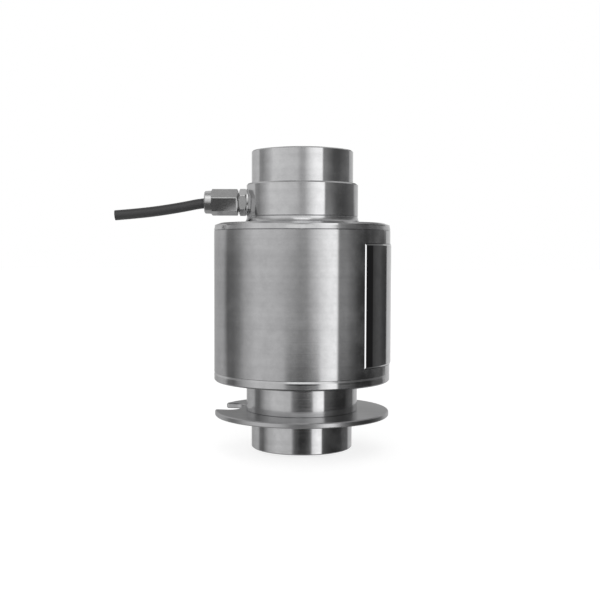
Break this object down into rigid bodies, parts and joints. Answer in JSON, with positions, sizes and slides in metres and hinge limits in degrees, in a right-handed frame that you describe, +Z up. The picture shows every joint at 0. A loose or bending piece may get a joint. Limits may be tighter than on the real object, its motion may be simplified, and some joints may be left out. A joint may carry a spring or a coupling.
{
  "type": "weighbridge load cell",
  "caption": "Upright canister compression load cell: domed load buttons, wide welded housing tube, notched anti-rotation plate and a side cable gland with a cut cable.",
  "frame": {"origin": "lowest point of the lower load button's dome, on the column's axis", "axes": "+Z up along the load column, -X out along the cable gland, +X out through the middle of the nameplate"},
  "size_m": [0.164, 0.1044, 0.1797],
  "materials": {
    "turned_stainless": "turned, fine circumferential lines",
    "plate_stainless": "ground sheet",
    "nameplate_stainless": "smooth, bright",
    "gland_steel": "satin machined",
    "grommet_rubber": "matt moulded",
    "cable_jacket": "extruded, slightly shiny",
    "core_red": "extruded",
    "core_black": "extruded",
    "core_green": "extruded",
    "core_white": "extruded",
    "board_laminate": "solder mask",
    "pad_foam": "adhesive pad",
    "polyimide": "amber film",
    "lead_copper": "bare wire",
    "resistor_body": "glazed chip"
  },
  "bodies": {
    "root": {"load_column": "turned_stainless", "upper_end_ring": "turned_stainless", "housing_tube": "turned_stainless", "lower_end_ring": "turned_stainless", "nameplate": "nameplate_stainless", "anti_rotation_plate": "plate_stainless", "gland_body": "gland_steel", "gland_seal_ring": "gland_steel", "gland_nut": "gland_steel", "gland_grommet": "grommet_rubber", "gland_washer": "gland_steel", "cable": "cable_jacket", "core_1": "core_red", "core_2": "core_black", "core_3": "core_green", "core_4": "core_white", "terminal_board": "board_laminate", "board_pads": "pad_foam", "strain_gauge_1": "polyimide", "strain_gauge_2": "polyimide", "strain_gauge_3": "polyimide", "strain_gauge_4": "polyimide", "bridge_flex": "polyimide", "gauge_leads_1": "lead_copper", "gauge_leads_2": "lead_copper", "gauge_leads_3": "lead_copper", "gauge_leads_4": "lead_copper", "span_resistor_1": "resistor_body", "span_resistor_2": "resistor_body", "zero_resistor": "resistor_body"}
  },
  "joints": []
}
